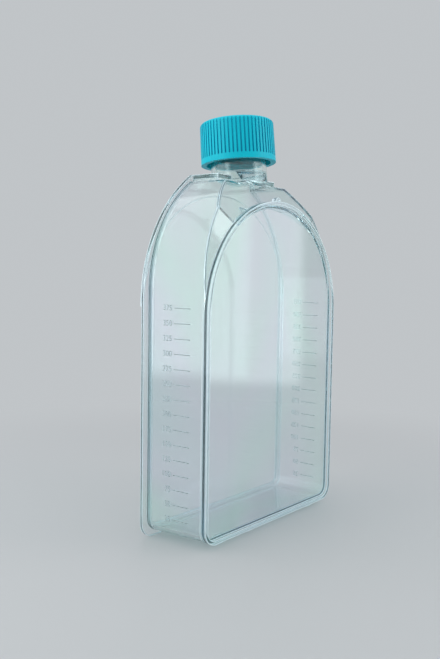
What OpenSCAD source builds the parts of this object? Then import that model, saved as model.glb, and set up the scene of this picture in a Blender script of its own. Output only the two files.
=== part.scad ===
// Cell culture flask with a canted neck and a vented screw cap.
// The flask stands on its base. +Z runs up to the neck, +X to the right, and -Y is the growth side.
// The origin is under the middle of the whole flask, cap included. All sizes are in millimetres.

/* [Body] */
// Depth of the body, from the growth rim to the back of the cover
body_depth = 38.5; // [32:0.1:48]
// Width of the growth side, across its rim
front_w = 110.6; // [92:0.1:133]
// Height of the arch of the growth side above the base
front_h = 163.9; // [136:0.1:197]
// Gap between the base and the lower edge of the growth side
front_lift = 2.7; // [2:0.1:4]
// Radius of the lower corners of the growth side
corner_r = 7.5; // [4:0.1:10]
// Thickness of the moulded walls
wall_t = 1.9; // [1.5:0.1:2.4]
// How far each wall leans outwards from the growth side to the cover
wall_draft = 1.1; // [0.5:0.1:2]

/* [Growth side] */
// Thickness of the standing rim, measured back from its face
rim_depth = 2.5; // [2.2:0.1:3]
// Width of the rim's face
rim_face = 1.8; // [1.2:0.1:2.5]
// How far the growth panel lies behind the rim's face
panel_recess = 1.7; // [1:0.1:2]
// Thickness of the growth panel
panel_t = 1.8; // [1.4:0.1:2.2]
// How far the walls stand inside the rim's outline
rim_step = 0.6; // [0.3:0.1:1]
// Width of each foot under the body
foot_w = 6; // [4:0.5:9]
// Depth of each foot
foot_d = 2.5; // [2:0.1:4]
// How far each foot stands behind the rim's face
foot_set = 4.2; // [3:0.1:8]
// Distance of each foot from the middle
foot_x = 40; // [25:0.5:42]

/* [Cover plate] */
// Thickness of the cover plate
cover_t = 2.1; // [1.8:0.1:2.6]
// Ledge of the cover plate beyond the walls
cover_ledge = 3.1; // [2:0.1:4]
// Height of the raised crescent that the arch of the next flask of a stack slides under
stack_depth = 0.7; // [0.4:0.1:1]
// Clearance between that crescent and the arch
stack_gap = 3.7; // [1:0.1:4.5]
// Height of the rib that centres the cover plate inside the walls
rib_h = 1.2; // [0.8:0.1:2]
// Width of that rib
rib_w = 1.2; // [0.8:0.1:2]
// Clearance between that rib and the walls
rib_gap = 0.15; // [0.1:0.01:0.3]

/* [Shoulder] */
// Height of the ledge round the neck above the top of the arch
ledge_rise = 9.4; // [8:0.1:12]
// Height of the neck's raised pad above that ledge
pad_h = 3.5; // [2:0.1:5]
// Distance from the neck's axis forward to the front of the pad
pad_front = 4.8; // [4:0.1:9]
// Angle of the sloped shoulder above the horizontal
ramp_angle = 60; // [55:1:65]
// How far the neck overhangs the top edge of the sloped shoulder
ramp_tuck = 3.7; // [2.5:0.1:4.5]
// Angle of the chamfer that joins the side walls to the arch, from the flask's depth
chamfer_angle = 67; // [60:1:72]
// Width of each gusset between the rim and the shoulder
gusset_w = 1.8; // [1.2:0.1:2.5]
// Angle of each gusset round the arch, from the horizontal
gusset_angle = 64; // [60:1:72]

/* [Neck] */
// Outer diameter of the neck
neck_d = 28.6; // [24:0.1:34.5]
// Wall of the neck
neck_wall = 2; // [1.6:0.1:2.4]
// Angle by which the neck leans back
neck_cant = 5; // [3:0.1:6]
// How far the neck stands out behind the cover plate, just above it
neck_overhang = 1.4; // [0:0.1:1.8]

/* [Screw thread] */
// Rise of the cap in one turn
thread_pitch = 4; // [3.4:0.1:5]
// Number of turns of each thread
thread_turns = 1.5; // [1.2:0.1:1.8]
// Height of the neck's thread
thread_h = 1.7; // [1.4:0.1:2]
// Width of a thread at its root
thread_root = 1.7; // [1.4:0.1:1.7]
// Width of a thread at its crest
thread_crest = 0.7; // [0.5:0.1:0.8]
// Clearance between a thread's crest and the wall it faces
thread_gap = 0.5; // [0.4:0.05:0.7]

/* [Cap] */
// Height of the cap
cap_h = 21.2; // [18:0.1:25]
// Wall of the cap, ribs included
cap_wall = 2.7; // [2.3:0.05:3.2]
// How much narrower the cap is at its top, on the radius
cap_taper = 0.35; // [0:0.05:0.6]
// Radius of the cap's upper edge
cap_edge_r = 2; // [1:0.1:2.2]
// Thickness of the cap's top
cap_top_t = 2; // [1.6:0.1:2.6]
// Height of the cap's lower edge above the neck's pad
cap_lift = 7.1; // [5.5:0.1:9]
// Number of grip grooves
groove_n = 60; // [48:1:66]
// Width of a grip groove
groove_w = 0.75; // [0.6:0.05:0.9]
// Depth of a grip groove
groove_depth = 0.7; // [0.4:0.05:0.8]
// Height of the plain band under the grooves
cap_band = 2.9; // [2:0.1:4]

/* [Vent] */
// Number of vent holes in the cap's top
vent_n = 8; // [5:1:9]
// Diameter of a vent hole
vent_d = 3; // [2:0.1:3.2]
// Distance of the vent holes from the cap's axis
vent_r = 6.5; // [6:0.1:7.5]
// Thickness of the vent membrane
membrane_t = 0.3; // [0.2:0.05:0.4]
// Height of the sealing ring that presses on the neck
seal_h = 0.7; // [0.6:0.05:1]
// Running gap between parts of the cap and the neck
seat_gap = 0.1; // [0.05:0.01:0.15]

/* [Hidden] */
$fn = 96;

clear_colour = [0.82, 0.92, 0.95, 0.45];
cap_colour = [0, 0.74, 0.80];
membrane_colour = [0.95, 0.95, 0.93];

big = 400;   // longer than anything here, for cutting blocks
cut = 0.5;   // how far a cutting or joining solid runs past a face

// Depth positions, with 0 in the middle of the body
y_front = -body_depth / 2;
y_back = body_depth / 2;
y_rim = y_front + rim_depth;                       // back of the rim, front of the walls
y_panel = y_front + panel_recess;                  // outer face of the growth panel
y_inside = y_panel + panel_t;                      // inner face of the growth panel
y_cover = y_back - cover_t;                        // inner face of the cover plate

// Growth side: a rectangle with a full half-circle on top
front_half = front_w / 2;
arch_z = front_h - front_half;                     // height of the half-circle's centre

// The walls and the cover plate rise to a pointed arch, of two arcs with their centres apart
wall_rise = 11.1;                                  // end of the walls' straight sides above arch_z
wall_shift = 8.1;                                  // offset of each arc's centre from the middle
cover_rise = 4.2;
cover_shift = 17.4;

// Each outline is [half width, lowest z, z where the sides end, arc offset, lower corner radius].
// Its two side arcs have their centres on the far side of the middle by the arc offset.
front_outline = [front_half, front_lift, arch_z, 0, corner_r];
wall_outline = [
    front_half - rim_step,
    front_lift + rim_step,
    arch_z + wall_rise,
    wall_shift,
    corner_r - rim_step
];
cover_outline = [
    front_half - rim_step + wall_draft + cover_ledge,
    0,
    arch_z + cover_rise,
    cover_shift,
    corner_r
];

// Shoulder and neck heights
ledge_z = front_h + ledge_rise;
top_z = ledge_z + pad_h;                           // top of the pad and of the cover plate
cap_z = top_z + cap_lift;                          // where the neck's axis meets the cap's lower edge
neck_r = neck_d / 2;
bore_r = neck_r - neck_wall;
bore_step = 0.6;                                   // narrowing of the bore at the neck's root
neck_y = y_back - neck_r + neck_overhang + cap_lift * tan(neck_cant);
root_y = neck_y - (cap_z - ledge_z) * tan(neck_cant);   // the neck's axis at the ledge
ramp_y = root_y - neck_r + ramp_tuck;              // top edge of the sloped shoulder
pad_y = root_y - pad_front;
pad_half = outline_half_at(cover_outline, top_z);
root_h = 2.5;                                      // height of the cone under the neck's overhang
root_r = neck_r - root_h * tan(60);                // its radius at its lower end
hood_step = 1.3;                                   // how far the arch steps in as it runs back
hood_r = front_half - hood_step;
hood_y = ramp_y - 2;                               // where the hood has gone under the shoulder
chamfer_grow = tan(chamfer_angle);                 // growth of the chamfer's radius for each mm of depth
chamfer_len = 12;
gusset_len = 5;                                    // reaches into the sloped shoulder
gusset_rise = 1.6;
gusset_root = 4;                                   // how far it reaches in from the rim's edge
gate_x = -1.2;                                     // the mark of the moulding gate, on top of the arch
gate_r = 1.75;
gate_drop = 3.4;                                   // from the top of the arch to its lower circle
gate_rise = 0.2;                                   // how far its upper circle stands above the arch
gate_inset = 0.2;                                  // from the rim's face

// Cap and thread, measured along the neck's axis from the cap's lower edge
cap_bore_r = neck_r + thread_h + thread_gap;
cap_r = cap_bore_r + cap_wall;
ceiling_z = cap_h - cap_top_t;
neck_top = ceiling_z - seal_h - seat_gap;
bore_z = wall_t - cap_lift;                        // lower end of the bore's full circle
seal_edge = 0.2;                                   // by which the seal ring clears the neck's edges
membrane_r = bore_r - seal_edge;
membrane_z = ceiling_z - seat_gap / 2 - membrane_t;
cap_thread_z = 2.2;                                // lower end of the cap's thread
neck_thread_z = cap_thread_z + 1.5 * thread_pitch; // half a pitch out of step with it
thread_sink = 0.3;                                 // how far a thread's root is sunk into its wall
thread_steps = 28;                                 // facets in a turn of thread

// The cap stands out behind the cover, so the body sits forward of the origin by half of that
overhang = neck_y + (cap_h - cap_edge_r) * sin(neck_cant) + (cap_r - cap_taper) * cos(neck_cant) - y_back;
centre_shift = -overhang / 2;

// Half width of an outline at a height above its straight sides
function outline_half_at(o, z) = sqrt(pow(o[0] + o[3], 2) - pow(z - o[2], 2)) - o[3];

// Puts the body over the origin
module placed() {
    translate([0, centre_shift, 0])
        children();
}

// Puts what turns about the neck's axis on that axis, with its z = 0 at the cap's lower edge
module on_neck() {
    translate([0, neck_y, cap_z])
        rotate([-neck_cant, 0, 0])
            children();
}

// Stands a flat shape drawn in x and z on its depth position
module plate(y0, y1) {
    translate([0, y1, 0])
        rotate([90, 0, 0])
            linear_extrude(height = y1 - y0)
                children();
}

// A disc or cone about a line along the depth
module depth_cone(x, z, y0, r0, y1, r1) {
    translate([x, y0, z])
        rotate([-90, 0, 0])
            cylinder(h = y1 - y0, r1 = r0, r2 = r1, $fn = 192);
}

// Flat outline, grown outwards by g
module outline(o, g = 0) {
    half = o[0] + g;
    low = o[1] - g;
    r = o[4] + g;
    arc_r = o[0] + o[3] + g;
    // the arched top
    intersection() {
        translate([-o[3], o[2]])
            circle(r = arc_r, $fn = 192);
        translate([o[3], o[2]])
            circle(r = arc_r, $fn = 192);
        translate([-half, o[2]])
            square([2 * half, big]);
    }
    // the straight sides
    translate([-half, low + r])
        square([2 * half, o[2] - low - r]);
    // the base and its round corners
    translate([-half + r, low])
        square([2 * (half - r), r]);
    for (side = [-1, 1])
        translate([side * (half - r), low + r])
            circle(r = r, $fn = 64);
}

// Keeps only what of a flat shape lies under a height
module below(z) {
    intersection() {
        children();
        translate([-big / 2, z - big])
            square([big, big]);
    }
}

// The same outline as a solid that grows from g0 at depth y0 to g1 at depth y1
module drafted(o, y0, g0, y1, g1) {
    half = o[0];
    corner_z = o[1] + o[4];
    arc_r = o[0] + o[3];
    intersection() {
        depth_cone(-o[3], o[2], y0, arc_r + g0, y1, arc_r + g1);
        depth_cone(o[3], o[2], y0, arc_r + g0, y1, arc_r + g1);
        translate([-big / 2, y0 - cut, o[2]])
            cube([big, y1 - y0 + 2 * cut, big]);
    }
    translate([0, 0, corner_z])
        linear_extrude(height = o[2] - corner_z)
            polygon([[-half - g0, y0], [half + g0, y0], [half + g1, y1], [-half - g1, y1]]);
    rotate([90, 0, 90])
        translate([0, 0, -(half - o[4])])
            linear_extrude(height = 2 * (half - o[4]))
                polygon([[y0, o[1] - g0], [y1, o[1] - g1], [y1, corner_z], [y0, corner_z]]);
    for (side = [-1, 1])
        depth_cone(side * (half - o[4]), corner_z, y0, o[4] + g0, y1, o[4] + g1);
}

// Everything above the sloped shoulder, or above its inner face when inset by the wall
module above_ramp(inset = 0) {
    translate([0, ramp_y, ledge_z])
        rotate([ramp_angle, 0, 0])
            translate([-big / 2, -big / 2, -inset])
                cube([big, big, big]);
}

// What the chamfer between the arch and the side walls takes away from the walls
module beyond_chamfer(inset = 0) {
    r0 = front_half - inset / cos(chamfer_angle);
    difference() {
        translate([-big / 2, y_rim - chamfer_len, arch_z])
            cube([big, 2 * chamfer_len, big]);
        depth_cone(0, arch_z, y_rim - chamfer_len / 4, r0 - chamfer_grow * chamfer_len / 4,
                   y_rim + chamfer_len + cut, r0 + chamfer_grow * (chamfer_len + cut));
    }
}

// The closed body as a solid block: the outside when inset is 0, the cavity when it is the wall
module body_block(inset, y0, y1) {
    slope = wall_draft / (y_cover - y_rim);
    difference() {
        drafted(wall_outline, y0, slope * (y0 - y_rim) - inset, y1, slope * (y1 - y_rim) - inset);
        above_ramp(inset);
        beyond_chamfer(inset);
        translate([-big / 2, -big / 2, ledge_z - inset])
            cube([big, big, big]);
    }
    // the arch carried back as a hood until the sloped shoulder covers it
    intersection() {
        depth_cone(0, arch_z, y0, hood_r - inset, hood_y, hood_r - inset);
        translate([-big / 2, -big / 2, arch_z])
            cube([big, big, big]);
    }
}

// The raised pad that the neck stands on, back to the depth y1
module neck_pad(inset, y1) {
    translate([-pad_half + inset, pad_y + inset, ledge_z - 2 * wall_t])
        cube([2 * (pad_half - inset), y1 - pad_y - inset, pad_h + 2 * wall_t - inset]);
}

// The neck, down to the ledge, and under its overhang a cone that runs back into the shoulder
module neck_outside() {
    ledge_t = -cap_lift - pad_h;
    on_neck()
        rotate_extrude()
            polygon([
                [0, ledge_t - root_h],
                [root_r, ledge_t - root_h],
                [neck_r, ledge_t],
                [neck_r, neck_top],
                [0, neck_top]
            ]);
}

// The neck's bore. Under the full circle it narrows, and stays behind the sloped shoulder and in
// front of the cover plate, which leaves a crest that keeps the medium back.
module neck_bore() {
    on_neck()
        translate([0, 0, bore_z])
            cylinder(h = big / 4, r = bore_r);
    difference() {
        on_neck()
            translate([0, 0, -cap_lift - pad_h - 3 * wall_t])
                cylinder(h = cap_lift + pad_h + 3 * wall_t + bore_z + cut, r = bore_r - bore_step);
        above_ramp(wall_t);
        translate([-big / 2, y_cover - cut, 0])
            cube([big, big, big]);
    }
}

// A right-handed screw thread that tapers in and out at its ends
module screw_thread(r_root, r_crest, z0) {
    n = round(thread_turns * thread_steps);
    fade = thread_steps / 8;
    function grip(i) = max(0.1, min(1, i / fade, (n - i) / fade));
    function ring(i) = let (
        a = 360 * i / thread_steps,
        z = z0 + thread_pitch * i / thread_steps,
        r = r_root + (r_crest - r_root) * grip(i)
    ) [
        [r_root * cos(a), r_root * sin(a), z - thread_root / 2],
        [r * cos(a), r * sin(a), z - thread_crest / 2],
        [r * cos(a), r * sin(a), z + thread_crest / 2],
        [r_root * cos(a), r_root * sin(a), z + thread_root / 2]
    ];
    outward = r_crest > r_root;
    points = [for (i = [0:n]) each ring(i)];
    sides = [for (i = [0:n - 1], j = [0:3]) let (
        a = 4 * i + j,
        b = 4 * i + (j + 1) % 4
    ) each [[a, b, b + 4], [a, b + 4, a + 4]]];
    ends = [[0, 2, 1], [0, 3, 2], [4 * n, 4 * n + 1, 4 * n + 2], [4 * n, 4 * n + 2, 4 * n + 3]];
    faces = [for (f = concat(sides, ends)) outward ? f : [f[2], f[1], f[0]]];
    polyhedron(points = points, faces = faces);
}

// Short ribs that tie the rim to the sloped shoulder, with their tops rising to the back
module gussets() {
    for (angle = [gusset_angle, 180 - gusset_angle])
        translate([0, 0, arch_z])
            rotate([0, -angle, 0])
                translate([0, 0, -gusset_w / 2])
                    linear_extrude(height = gusset_w)
                        polygon([
                            [front_half - gusset_root, y_rim - cut],
                            [front_half, y_rim - cut],
                            [front_half, y_rim],
                            [front_half + gusset_rise, y_rim + gusset_len],
                            [front_half - gusset_root, y_rim + gusset_len]
                        ]);
}

// The mark left by the moulding gate on top of the arch
module gate_mark() {
    plate(y_front + gate_inset, y_rim + cut)
        translate([gate_x, front_h - gate_drop]) {
            circle(r = gate_r);
            translate([0, gate_drop + gate_rise])
                circle(r = gate_r);
            translate([-gate_r, 0])
                square([2 * gate_r, gate_drop + gate_rise]);
        }
}

module feet() {
    for (side = [-1, 1])
        translate([side * foot_x - foot_w / 2, y_front + foot_set, 0])
            cube([foot_w, foot_d, front_lift + rim_step + cut]);
}

module vessel() {
    color(clear_colour)
        placed()
            difference() {
                union() {
                    plate(y_front, y_inside)
                        outline(front_outline);
                    body_block(0, y_rim - cut, y_cover + cut);
                    neck_pad(0, y_cover + cut);
                    neck_outside();
                    gussets();
                    gate_mark();
                    feet();
                    on_neck()
                        screw_thread(neck_r - thread_sink, neck_r + thread_h, neck_thread_z);
                }
                plate(y_front - cut, y_panel)
                    outline(front_outline, -rim_face);
                body_block(wall_t, y_inside, y_cover + 2 * cut);
                neck_pad(wall_t, y_cover + 2 * cut);
                neck_bore();
                cover_place();
            }
}

// The space behind the walls, up to the top of the pad, that the cover plate closes
module cover_place() {
    translate([-big / 2, y_cover, top_z - big])
        cube([big, big, big]);
}

module cover_plate() {
    rib_grow = wall_draft - wall_t - rib_gap;
    color(clear_colour)
        placed() {
            difference() {
                plate(y_cover, y_back)
                    below(top_z)
                        outline(cover_outline);
                plate(y_back - stack_depth, y_back + cut) {
                    translate([0, arch_z])
                        circle(r = front_half + stack_gap, $fn = 192);
                    translate([-big / 2, arch_z - big])
                        square([big, big]);
                }
            }
            plate(y_cover - rib_h, y_cover)
                below(ledge_z - wall_t - rib_gap)
                    difference() {
                        outline(wall_outline, rib_grow);
                        outline(wall_outline, rib_grow - rib_w);
                    }
        }
}

module screw_cap() {
    color(cap_colour)
        placed()
            on_neck()
                difference() {
                    union() {
                        difference() {
                            cap_outside();
                            cap_inside();
                        }
                        screw_thread(cap_bore_r + thread_sink, neck_r + thread_gap, cap_thread_z);
                    }
                    grip_grooves();
                    vent_holes();
                }
}

module cap_outside() {
    edge_x = cap_r - cap_taper - cap_edge_r;
    rotate_extrude($fn = 128) {
        polygon([[0, 0], [cap_r, 0], [cap_r - cap_taper, cap_h - cap_edge_r], [0, cap_h - cap_edge_r]]);
        translate([0, cap_h - cap_edge_r])
            square([edge_x, cap_edge_r]);
        intersection() {
            translate([edge_x, cap_h - cap_edge_r])
                circle(r = cap_edge_r);
            translate([0, cap_h - cap_edge_r])
                square([cap_r, cap_edge_r]);
        }
    }
}

// The bore of the cap, which leaves a sealing ring standing on its ceiling
module cap_inside() {
    difference() {
        translate([0, 0, -cut])
            cylinder(h = ceiling_z + cut, r = cap_bore_r);
        translate([0, 0, ceiling_z - seal_h])
            difference() {
                cylinder(h = seal_h + cut, r = neck_r - seal_edge);
                translate([0, 0, -cut])
                    cylinder(h = seal_h + 2 * cut, r = bore_r + seal_edge);
            }
    }
}

module grip_grooves() {
    for (i = [0:groove_n - 1])
        rotate([0, 0, 360 * i / groove_n])
            translate([cap_r - groove_depth, -groove_w / 2, cap_band])
                cube([groove_depth + cut, groove_w, cap_h - cap_band - cap_edge_r / 2]);
}

module vent_holes() {
    for (i = [0:vent_n - 1])
        rotate([0, 0, 360 * i / vent_n])
            translate([vent_r, 0, ceiling_z - cut])
                cylinder(h = cap_top_t + 2 * cut, d = vent_d, $fn = 32);
}

module vent_membrane() {
    color(membrane_colour)
        placed()
            on_neck()
                translate([0, 0, membrane_z])
                    cylinder(h = membrane_t, r = membrane_r);
}

vessel();
cover_plate();
screw_cap();
vent_membrane();
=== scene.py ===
# Looks of the cell culture flask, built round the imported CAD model.
import math
import bmesh
import bpy
from mathutils import Matrix, Vector


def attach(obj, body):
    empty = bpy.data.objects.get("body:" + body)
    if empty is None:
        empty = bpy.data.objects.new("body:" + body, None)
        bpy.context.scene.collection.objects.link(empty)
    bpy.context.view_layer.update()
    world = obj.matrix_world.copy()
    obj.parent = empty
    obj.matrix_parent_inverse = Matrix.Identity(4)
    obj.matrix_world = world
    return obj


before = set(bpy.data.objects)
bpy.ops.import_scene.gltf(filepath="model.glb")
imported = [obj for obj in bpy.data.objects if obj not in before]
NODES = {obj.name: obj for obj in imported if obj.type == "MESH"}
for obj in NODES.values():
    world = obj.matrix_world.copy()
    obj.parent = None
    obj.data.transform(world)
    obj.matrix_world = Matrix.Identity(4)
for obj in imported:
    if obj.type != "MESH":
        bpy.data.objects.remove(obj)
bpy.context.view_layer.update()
MM = 0.001

# ---------------------------------------------------------------- camera
# Matched to the photograph: left side and growth side seen from a little above the middle.
CAM_AT = Vector((-0.3246, -0.24159, 0.1301))
CAM_YAW = math.radians(38.16)
CAM_PITCH = math.radians(4.42)   # downwards
CAM_ROLL = math.radians(0.84)
CAM_LENS = 42.58                 # in mm, as the sensor
CAM_SENSOR = 36.0
CAM_CLIP = (0.01, 100.0)


def make_camera():
    forward = Vector((
        math.cos(CAM_YAW) * math.cos(CAM_PITCH),
        math.sin(CAM_YAW) * math.cos(CAM_PITCH),
        -math.sin(CAM_PITCH),
    ))
    level = Vector((math.sin(CAM_YAW), -math.cos(CAM_YAW), 0.0))
    above = level.cross(forward)
    right = math.cos(CAM_ROLL) * level + math.sin(CAM_ROLL) * above
    up = math.cos(CAM_ROLL) * above - math.sin(CAM_ROLL) * level
    data = bpy.data.cameras.new("camera")
    data.lens = CAM_LENS
    data.sensor_width = CAM_SENSOR
    data.clip_start, data.clip_end = CAM_CLIP
    cam = bpy.data.objects.new("camera", data)
    bpy.context.scene.collection.objects.link(cam)
    turn = Matrix((right, up, -forward)).transposed().to_4x4()
    cam.matrix_world = Matrix.Translation(CAM_AT) @ turn
    bpy.context.scene.camera = cam


# ---------------------------------------------------------------- node trees
class Nodes:
    """The node tree of a material or the world, with short ways to add and join nodes."""

    def __init__(self, owner, output="ShaderNodeOutputMaterial"):
        owner.use_nodes = True
        self.owner = owner
        self.tree = owner.node_tree
        self.tree.nodes.clear()
        self.out = self.add(output)

    def add(self, kind, **settings):
        node = self.tree.nodes.new(kind)
        for key, value in settings.items():
            setattr(node, key, value)
        return node

    def join(self, source, target):
        self.tree.links.new(source, target)

    def noise(self, scale, detail=2.0, rough=0.5, stretch=None):
        coord = self.add("ShaderNodeTexCoord")
        source = coord.outputs["Object"]
        if stretch:
            mapping = self.add("ShaderNodeMapping")
            mapping.inputs["Scale"].default_value = stretch
            self.join(source, mapping.inputs["Vector"])
            source = mapping.outputs["Vector"]
        node = self.add("ShaderNodeTexNoise")
        node.inputs["Scale"].default_value = scale
        node.inputs["Detail"].default_value = detail
        node.inputs["Roughness"].default_value = rough
        self.join(source, node.inputs["Vector"])
        return node.outputs["Fac"]

    def ramp(self, fac, stops):
        node = self.add("ShaderNodeValToRGB")
        elements = node.color_ramp.elements
        while len(elements) < len(stops):
            elements.new(0.5)
        for element, (at, colour) in zip(elements, stops):
            element.position = at
            element.color = (*colour, 1.0)
        self.join(fac, node.inputs["Fac"])
        return node.outputs["Color"]

    def bump(self, height, strength, distance):
        """A bumped normal; the distance is in mm."""
        node = self.add("ShaderNodeBump")
        node.inputs["Strength"].default_value = strength
        node.inputs["Distance"].default_value = distance * MM
        self.join(height, node.inputs["Height"])
        return node.outputs["Normal"]

    def bevel(self, radius, samples):
        """The normal of the same shape with rounded edges; the radius is in mm."""
        node = self.add("ShaderNodeBevel", samples=samples)
        node.inputs["Radius"].default_value = radius * MM
        return node.outputs["Normal"]

    def spread(self, value, source, target, kind="LINEAR"):
        """The value, moved from the source's range to the target's."""
        node = self.add("ShaderNodeMapRange", interpolation_type=kind)
        node.inputs["From Min"].default_value, node.inputs["From Max"].default_value = source
        node.inputs["To Min"].default_value, node.inputs["To Max"].default_value = target
        self.join(value, node.inputs["Value"])
        return node.outputs["Result"]

    def blend(self, fac, first, second):
        """From the first colour, a socket, to the second, three numbers."""
        node = self.add("ShaderNodeMix", data_type="RGBA")
        self.join(fac, node.inputs[0])
        self.join(first, node.inputs[6])
        node.inputs[7].default_value = (*second, 1.0)
        return node.outputs[2]

    def maths(self, operation, first, second, clamp=False):
        """Two values, each a socket or a plain float, put together."""
        node = self.add("ShaderNodeMath", operation=operation, use_clamp=clamp)
        for socket, value in zip(node.inputs, (first, second)):
            if isinstance(value, float):
                socket.default_value = value
            else:
                self.join(value, socket)
        return node.outputs[0]

    def mix_shaders(self, fac, first, second):
        node = self.add("ShaderNodeMixShader")
        self.join(fac, node.inputs["Fac"])
        self.join(first, node.inputs[1])
        self.join(second, node.inputs[2])
        return node.outputs["Shader"]

    def glow(self, kind, colour, strength):
        """An emission or a background of one colour; its strength is a number."""
        node = self.add(kind)
        node.inputs["Color"].default_value = (*colour, 1.0)
        node.inputs["Strength"].default_value = strength
        return node.outputs[0]

    def finish(self, shader):
        self.join(shader, self.out.inputs["Surface"])
        return self.owner


def set_material(obj, mat):
    obj.data.materials.clear()
    obj.data.materials.append(mat)


# ---------------------------------------------------------------- materials
STYRENE_IOR = 1.59
# very faint bands of colour from moulding stress
STRESS_BANDS = [
    (0.30, (0.90, 0.98, 0.98)),
    (0.42, (0.945, 0.95, 0.985)),
    (0.50, (0.90, 0.985, 0.955)),
    (0.58, (0.955, 0.945, 0.975)),
    (0.70, (0.90, 0.975, 0.985)),
]
# the moulded edges are a little frosted, and are painted pale and less clear along them as a painted
# highlight
EDGE_RADIUS = 0.8                # in mm
EDGE_TURN = (0.995, 0.955)       # cosine between face and rounded edge: plain wall, full frosting and painted highlight
# the pale colour of the painted edge highlight
EDGE_HIGHLIGHT_COLOUR = (0.84, 0.95, 0.99)
CLEAR_SHARE = (0.985, 0.15)      # plain wall, edge painted pale as a highlight
CLEAR_ROUGH = (0.03, 0.28)       # plain wall, frosted edge
SHADOW_TINT = (0.86, 0.90, 0.91)
DEPTH_TINT = (0.45, 0.80, 0.92)
DEPTH_DENSITY = 20.0

CAP_COLOURS = [(0.3, (0.0, 0.50, 0.63)), (0.7, (0.0, 0.56, 0.69))]
# painted shade in the cap's grooves: its colour, how far the occlusion looks, and how closed in a
# place must be
GROOVE_SHADE_COLOUR = (0.0, 0.27, 0.48)
GROOVE_SHADE_REACH = 1.0               # in mm
GROOVE_SHADE_OPEN = (0.75, 0.35)       # how open a place is: open rib, full groove
FILM_COLOURS = [(0.3, (0.80, 0.80, 0.78)), (0.7, (0.90, 0.90, 0.88))]
MARK_COLOURS = [(0.3, (0.74, 0.82, 0.84)), (0.7, (0.84, 0.91, 0.93))]


def clear_styrene():
    m = Nodes(bpy.data.materials.new("clear_styrene"))
    p = m.add("ShaderNodeBsdfPrincipled")
    p.inputs["IOR"].default_value = STYRENE_IOR
    flow = m.noise(scale=9.0, detail=1.5, stretch=(1.0, 1.0, 0.55))
    colour = m.ramp(flow, STRESS_BANDS)
    # the slight waviness of a moulded wall
    wave = m.bump(m.noise(scale=28.0, detail=1.0), strength=0.05, distance=0.4)
    m.join(wave, p.inputs["Normal"])
    face = m.add("ShaderNodeNewGeometry")
    turn = m.add("ShaderNodeVectorMath", operation="DOT_PRODUCT")
    m.join(m.bevel(EDGE_RADIUS, samples=8), turn.inputs[0])
    m.join(face.outputs["Normal"], turn.inputs[1])
    # painted highlight: near the rounded edges the wall turns pale and less clear, and rougher as
    # real frosting
    frost_and_painted_highlight = m.spread(turn.outputs["Value"], EDGE_TURN, (0.0, 1.0))
    m.join(m.spread(frost_and_painted_highlight, (0.0, 1.0), CLEAR_SHARE), p.inputs["Transmission Weight"])
    m.join(m.spread(frost_and_painted_highlight, (0.0, 1.0), CLEAR_ROUGH), p.inputs["Roughness"])
    m.join(m.blend(frost_and_painted_highlight, colour, EDGE_HIGHLIGHT_COLOUR), p.inputs["Base Color"])
    # clear walls let most of the light through to the floor
    path = m.add("ShaderNodeLightPath")
    through = m.add("ShaderNodeBsdfTransparent")
    through.inputs["Color"].default_value = (*SHADOW_TINT, 1.0)
    depth = m.add("ShaderNodeVolumeAbsorption")
    depth.inputs["Color"].default_value = (*DEPTH_TINT, 1.0)
    depth.inputs["Density"].default_value = DEPTH_DENSITY
    m.join(depth.outputs["Volume"], m.out.inputs["Volume"])
    shadow = path.outputs["Is Shadow Ray"]
    return m.finish(m.mix_shaders(shadow, p.outputs["BSDF"], through.outputs["BSDF"]))


def cap_plastic():
    m = Nodes(bpy.data.materials.new("cap_plastic"))
    p = m.add("ShaderNodeBsdfPrincipled")
    p.inputs["Roughness"].default_value = 0.42
    p.inputs["Specular IOR Level"].default_value = 0.2
    colour = m.ramp(m.noise(scale=60.0, detail=3.0), CAP_COLOURS)
    # painted shade: the colour is darkened to a deeper blue in the grooves between the ribs, where
    # ambient occlusion finds them closed in
    hollow_shade = m.add("ShaderNodeAmbientOcclusion", samples=8, only_local=True)
    hollow_shade.inputs["Distance"].default_value = GROOVE_SHADE_REACH * MM
    groove_shade = m.spread(hollow_shade.outputs["AO"], GROOVE_SHADE_OPEN, (0.0, 1.0))
    m.join(m.blend(groove_shade, colour, GROOVE_SHADE_COLOUR), p.inputs["Base Color"])
    grain = m.bump(m.noise(scale=2600.0, detail=2.0), strength=0.12, distance=0.05)
    m.join(grain, p.inputs["Normal"])
    return m.finish(p.outputs["BSDF"])


def membrane_film():
    m = Nodes(bpy.data.materials.new("membrane_film"))
    p = m.add("ShaderNodeBsdfPrincipled")
    p.inputs["Roughness"].default_value = 0.85
    pores = m.noise(scale=3500.0, detail=4.0, rough=0.7)
    m.join(m.ramp(pores, FILM_COLOURS), p.inputs["Base Color"])
    m.join(m.bump(pores, strength=0.3, distance=0.05), p.inputs["Normal"])
    return m.finish(p.outputs["BSDF"])


def moulded_mark():
    """The moulded figures: the same plastic, with frosted tops."""
    m = Nodes(bpy.data.materials.new("moulded_mark"))
    p = m.add("ShaderNodeBsdfPrincipled")
    p.inputs["Transmission Weight"].default_value = 0.85
    p.inputs["IOR"].default_value = STYRENE_IOR
    p.inputs["Roughness"].default_value = 0.4
    frost = m.noise(scale=900.0, detail=3.0)
    m.join(m.ramp(frost, MARK_COLOURS), p.inputs["Base Color"])
    m.join(m.bump(frost, strength=0.2, distance=0.05), p.inputs["Normal"])
    return m.finish(p.outputs["BSDF"])


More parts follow.
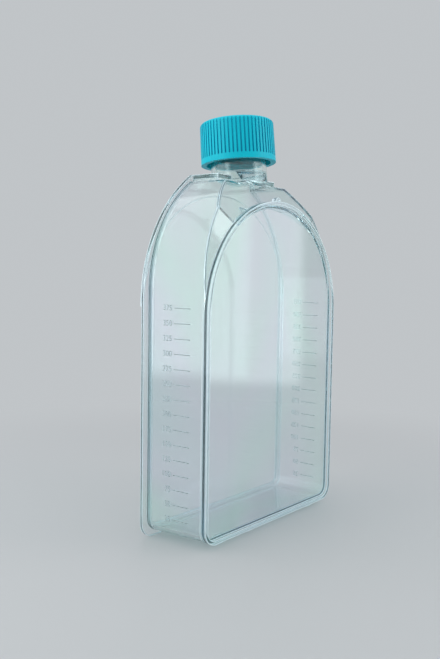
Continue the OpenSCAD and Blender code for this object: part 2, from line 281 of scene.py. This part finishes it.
# ---------------------------------------------------------------- scale on the side walls
# Lengths are in mm, in the model's frame: y runs from the growth side to the back.
SCALE_STEP = 25           # millilitres a tick
SCALE_TICKS = 15
SCALE_ZERO = 4.95         # height at which the scale would start; no tick stands there
SCALE_PITCH = 7.13        # from one tick to the next
TICK_Y = (-12.6, -3.0)    # where each tick starts and ends
TICK_W = 0.45             # width of a tick at its foot
TICK_H = 0.12             # how far the moulded marks stand out of the wall
TICK_FLANK = 0.12         # how much narrower a tick is at its top, on each side
TICK_SINK = 0.02          # how far the foot reaches into the wall, and stands straight out of it
LABEL_Y = -1.9            # front end of each label
LABEL_HALF = TICK_H / 2 + 0.01    # half the thickness of the figures, before their rounded edge
LABEL_OUT = TICK_H / 2 - 0.02     # how far the middle of the figures stands out of the wall
LABEL_BEVEL = 0.02
LABEL_STEPS = 3           # segments along each curve of a figure
DIGIT_H = 2.65
DIGIT_SHARE = 0.7         # height of a figure as a share of the font's size
WALL_AT = (-20.84, 54.7)  # depth and half width where the side wall starts
WALL_SLOPE = 1.1 / 33.9   # how far the wall leans out over its depth


def wall_x(y):
    return WALL_AT[1] + WALL_SLOPE * (y - WALL_AT[0])


def wall_frame(side, y, z):
    """Local x along the wall as it is read, y up and z out of the wall, in metres."""
    along = Vector((side * WALL_SLOPE, 1.0, 0.0)).normalized() * side
    up = Vector((0.0, 0.0, 1.0))
    out = along.cross(up)
    turn = Matrix((along, up, out)).transposed().to_4x4()
    at = Vector((side * wall_x(y), y, z)) * MM
    return Matrix.Translation(at) @ turn


def tick_mesh(bm, side, z):
    """A low bar with sloped flanks, sunk a little into the wall so that it has no loose base."""
    length = TICK_Y[1] - TICK_Y[0]
    place = wall_frame(side, (TICK_Y[0] + TICK_Y[1]) / 2, z)
    foot = TICK_W / 2
    levels = (
        (foot, -TICK_SINK, 0.0),
        (foot, TICK_SINK, 0.0),
        (foot - TICK_FLANK, TICK_H, TICK_FLANK),
    )
    rings = []
    for w, h, cut in levels:
        half = length / 2 - cut
        corners = [(-half, -w), (half, -w), (half, w), (-half, w)]
        rings.append([bm.verts.new(place @ (Vector((x, y, h)) * MM)) for x, y in corners])
    bm.faces.new(rings[0][::-1])
    bm.faces.new(rings[-1])
    for low, high in zip(rings, rings[1:]):
        for i in range(4):
            j = (i + 1) % 4
            bm.faces.new((low[i], low[j], high[j], high[i]))


def label_mesh(bm, side, z, value):
    curve = bpy.data.curves.new("label", "FONT")
    curve.body = str(value)
    curve.size = DIGIT_H / DIGIT_SHARE * MM
    curve.align_x = "LEFT" if side > 0 else "RIGHT"
    curve.align_y = "CENTER"
    curve.extrude = LABEL_HALF * MM
    curve.bevel_depth = LABEL_BEVEL * MM
    curve.resolution_u = LABEL_STEPS
    obj = bpy.data.objects.new("label", curve)
    bpy.context.scene.collection.objects.link(obj)
    bpy.context.view_layer.update()
    mesh = bpy.data.meshes.new_from_object(obj.evaluated_get(
        bpy.context.evaluated_depsgraph_get()))
    mesh.transform(wall_frame(side, LABEL_Y, z) @ Matrix.Translation((0, 0, LABEL_OUT * MM)))
    bm.from_mesh(mesh)
    bpy.data.objects.remove(obj)
    bpy.data.curves.remove(curve)
    bpy.data.meshes.remove(mesh)


def make_scale(side, mat):
    bm = bmesh.new()
    for i in range(1, SCALE_TICKS + 1):
        z = SCALE_ZERO + SCALE_PITCH * i
        tick_mesh(bm, side, z)
        label_mesh(bm, side, z, SCALE_STEP * i)
    bmesh.ops.recalc_face_normals(bm, faces=bm.faces)
    name = "scale_left" if side < 0 else "scale_right"
    mesh = bpy.data.meshes.new(name)
    bm.to_mesh(mesh)
    bm.free()
    obj = bpy.data.objects.new(name, mesh)
    bpy.context.scene.collection.objects.link(obj)
    set_material(obj, mat)
    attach(obj, "flask")


# ---------------------------------------------------------------- floor and world
BACK = (0.53, 0.555, 0.575)
FLOOR_NEAR = (0.555, 0.535, 0.535)   # looks like BACK under this scene's light
FLOOR_ROUGH = 0.5
FLOOR_RADIUS = 6.0
FLOOR_DROP = 0.0002                  # keeps it clear of the flask's lowest faces
FLOOR_FADE = (0.13, 0.36)            # where the lit floor passes into the plain backdrop
WORLD_COLOUR = (0.86, 0.93, 1.0)
WORLD_LEVEL = 0.64


def make_floor():
    bm = bmesh.new()
    bmesh.ops.create_circle(bm, cap_ends=True, segments=96, radius=FLOOR_RADIUS)
    mesh = bpy.data.meshes.new("floor")
    bm.to_mesh(mesh)
    bm.free()
    floor = bpy.data.objects.new("floor", mesh)
    floor.location = (0, 0, -FLOOR_DROP)
    bpy.context.scene.collection.objects.link(floor)
    m = Nodes(bpy.data.materials.new("floor"))
    near = m.add("ShaderNodeBsdfPrincipled")
    near.inputs["Base Color"].default_value = (*FLOOR_NEAR, 1.0)
    near.inputs["Roughness"].default_value = FLOOR_ROUGH
    far = m.glow("ShaderNodeEmission", BACK, 1.0)
    coord = m.add("ShaderNodeTexCoord")
    away = m.add("ShaderNodeVectorMath", operation="LENGTH")
    m.join(coord.outputs["Object"], away.inputs[0])
    fade = m.spread(away.outputs["Value"], FLOOR_FADE, (0.0, 1.0), "SMOOTHSTEP")
    set_material(floor, m.finish(m.mix_shaders(fade, near.outputs["BSDF"], far)))


def make_world():
    """A plain background as it is seen, mirrored or looked at through the flask, and a soft light."""
    world = bpy.data.worlds.new("world")
    bpy.context.scene.world = world
    m = Nodes(world, "ShaderNodeOutputWorld")
    seen = m.glow("ShaderNodeBackground", BACK, 1.0)
    soft = m.glow("ShaderNodeBackground", WORLD_COLOUR, WORLD_LEVEL)
    path = m.add("ShaderNodeLightPath")
    looked = m.maths("ADD", path.outputs["Is Camera Ray"], path.outputs["Is Glossy Ray"])
    looked = m.maths("ADD", looked, path.outputs["Is Transmission Ray"], clamp=True)
    m.finish(m.mix_shaders(looked, soft, seen))


# ---------------------------------------------------------------- soft boxes
# Sizes and distances are in metres. A bearing is in degrees from +X towards +Y. Edges are the shares
# of a box's width or height over which its glow fades: left and right, as seen from behind the box
# by someone who faces the flask, then lower and upper.
BOX_COLOUR = (0.90, 1.0, 0.99)
NO_FADE = (0.0, 0.0, 0.0, 0.0)
SOFT_BOXES = {
    "right": dict(bearing=-35.5, away=0.45, shift=-0.197, size=(0.45, 0.60), raised=0.30,
                  glow=1.0, edges=(0.03, 0.03, 0.03, 0.10)),
    "left_rim": dict(bearing=167.0, away=0.60, size=(0.22, 0.70), raised=0.36, glow=1.3),
    "right_rim": dict(bearing=-65.0, away=0.60, size=(0.20, 0.70), raised=0.36, glow=1.3),
}
# the left one is a tall screen of several panels, bent up overhead
SCREEN_PANELS = 5
SCREEN_STEP = 26.0               # degrees from one panel to the next
SCREEN_BEARING = 143.0
SCREEN_AWAY = 0.56
SCREEN_WIDTH = 0.62
SCREEN_RAISED = 0.13
SCREEN_GLOW = (1.0, 0.07)        # of the lowest panel, and how much less each next one has
SCREEN_FADE = (0.10, 0.15)       # at its lower and at its upper end


def soft_box(name, bearing, away, size, raised, glow, shift=0.0, edges=NO_FADE, lean=0.0):
    """A glowing panel that faces the flask: where it stands, its width and height, the height of the
    point that its distance counts from, its glow, how far it is moved to its right as seen from
    behind, its fading edges, and how many degrees it is lifted overhead."""
    turn, nod = math.radians(bearing), math.radians(lean)
    flat = Vector((math.cos(turn), math.sin(turn), 0.0))
    side = Vector((-math.sin(turn), math.cos(turn), 0.0))
    out = flat * math.cos(nod) + Vector((0.0, 0.0, math.sin(nod)))
    middle = out * away + side * shift + Vector((0.0, 0.0, raised))
    wide, high = side * size[0] / 2, out.cross(side) * size[1] / 2
    # each corner is given by its place on the cloth, in an order that turns the front to the flask
    places = ((0.0, 0.0), (0.0, 1.0), (1.0, 1.0), (1.0, 0.0))
    corners = [middle + wide * (2 * u - 1) + high * (2 * v - 1) for u, v in places]
    mesh = bpy.data.meshes.new(name)
    mesh.from_pydata([tuple(c) for c in corners], [], [(0, 1, 2, 3)])
    layer = mesh.uv_layers.new(name="UVMap")
    for corner, place in zip(layer.data, places):
        corner.uv = place
    obj = bpy.data.objects.new(name, mesh)
    obj.visible_camera = False
    obj.visible_shadow = False
    bpy.context.scene.collection.objects.link(obj)
    set_material(obj, box_cloth(name, glow, edges))


def box_cloth(name, glow, edges):
    """A cloth that glows less towards its edges. It lights the flask and is mirrored in it, but isn't
    seen straight through its clear walls, where it would burn the plastic out to white."""
    m = Nodes(bpy.data.materials.new(name))
    path = m.add("ShaderNodeLightPath")
    unmirrored = m.maths("LESS_THAN", path.outputs["Glossy Depth"], 0.5)
    through = m.maths("MULTIPLY", unmirrored, path.outputs["Is Transmission Ray"])
    front = m.maths("SUBTRACT", 1.0, m.add("ShaderNodeNewGeometry").outputs["Backfacing"])
    strength = m.maths("MULTIPLY", m.maths("SUBTRACT", 1.0, through), front)
    strength = m.maths("MULTIPLY", strength, glow)
    split = m.add("ShaderNodeSeparateXYZ")
    m.join(m.add("ShaderNodeTexCoord").outputs["UV"], split.inputs[0])
    left, right, lower, upper = edges
    fades = (
        ("X", left, (0.0, left)),
        ("X", right, (1.0, 1.0 - right)),
        ("Y", lower, (0.0, lower)),
        ("Y", upper, (1.0, 1.0 - upper)),
    )
    for axis, width, source in fades:
        if width:
            fade = m.spread(split.outputs[axis], source, (0.0, 1.0), "SMOOTHSTEP")
            strength = m.maths("MULTIPLY", strength, fade)
    light = m.add("ShaderNodeEmission")
    light.inputs["Color"].default_value = (*BOX_COLOUR, 1.0)
    m.join(strength, light.inputs["Strength"])
    # what stands behind the box still shows
    both = m.add("ShaderNodeAddShader")
    m.join(light.outputs["Emission"], both.inputs[0])
    m.join(m.add("ShaderNodeBsdfTransparent").outputs["BSDF"], both.inputs[1])
    return m.finish(both.outputs["Shader"])


def make_lights():
    """Soft boxes where the walls mirror them, and two narrow ones for the edges. The left screen runs
    on overhead, where the arched shoulder mirrors it up to the neck."""
    for name, box in SOFT_BOXES.items():
        soft_box(name, **box)
    panel = (SCREEN_WIDTH, 2 * SCREEN_AWAY * math.tan(math.radians(SCREEN_STEP / 2)))
    for i in range(SCREEN_PANELS):
        lower = SCREEN_FADE[0] if i == 0 else 0.0
        upper = SCREEN_FADE[1] if i == SCREEN_PANELS - 1 else 0.0
        soft_box("left_%d" % (i + 1), SCREEN_BEARING, SCREEN_AWAY, panel, SCREEN_RAISED,
                 SCREEN_GLOW[0] - SCREEN_GLOW[1] * i, edges=(0.0, 0.0, lower, upper),
                 lean=SCREEN_STEP * i)


# ---------------------------------------------------------------- put together
make_camera()
make_world()
make_lights()
make_floor()

clear = clear_styrene()
set_material(NODES["vessel"], clear)
set_material(NODES["cover_plate"], clear)
set_material(NODES["screw_cap"], cap_plastic())
set_material(NODES["vent_membrane"], membrane_film())
mark = moulded_mark()
for side in (-1, 1):
    make_scale(side, mark)

# light that runs along inside the thick clear edges comes out again
BOUNCES = 40
MIRROR_BOUNCES = 20
bpy.context.scene.cycles.max_bounces = BOUNCES
bpy.context.scene.cycles.transmission_bounces = BOUNCES
bpy.context.scene.cycles.glossy_bounces = MIRROR_BOUNCES
bpy.context.scene.view_settings.view_transform = "Standard"
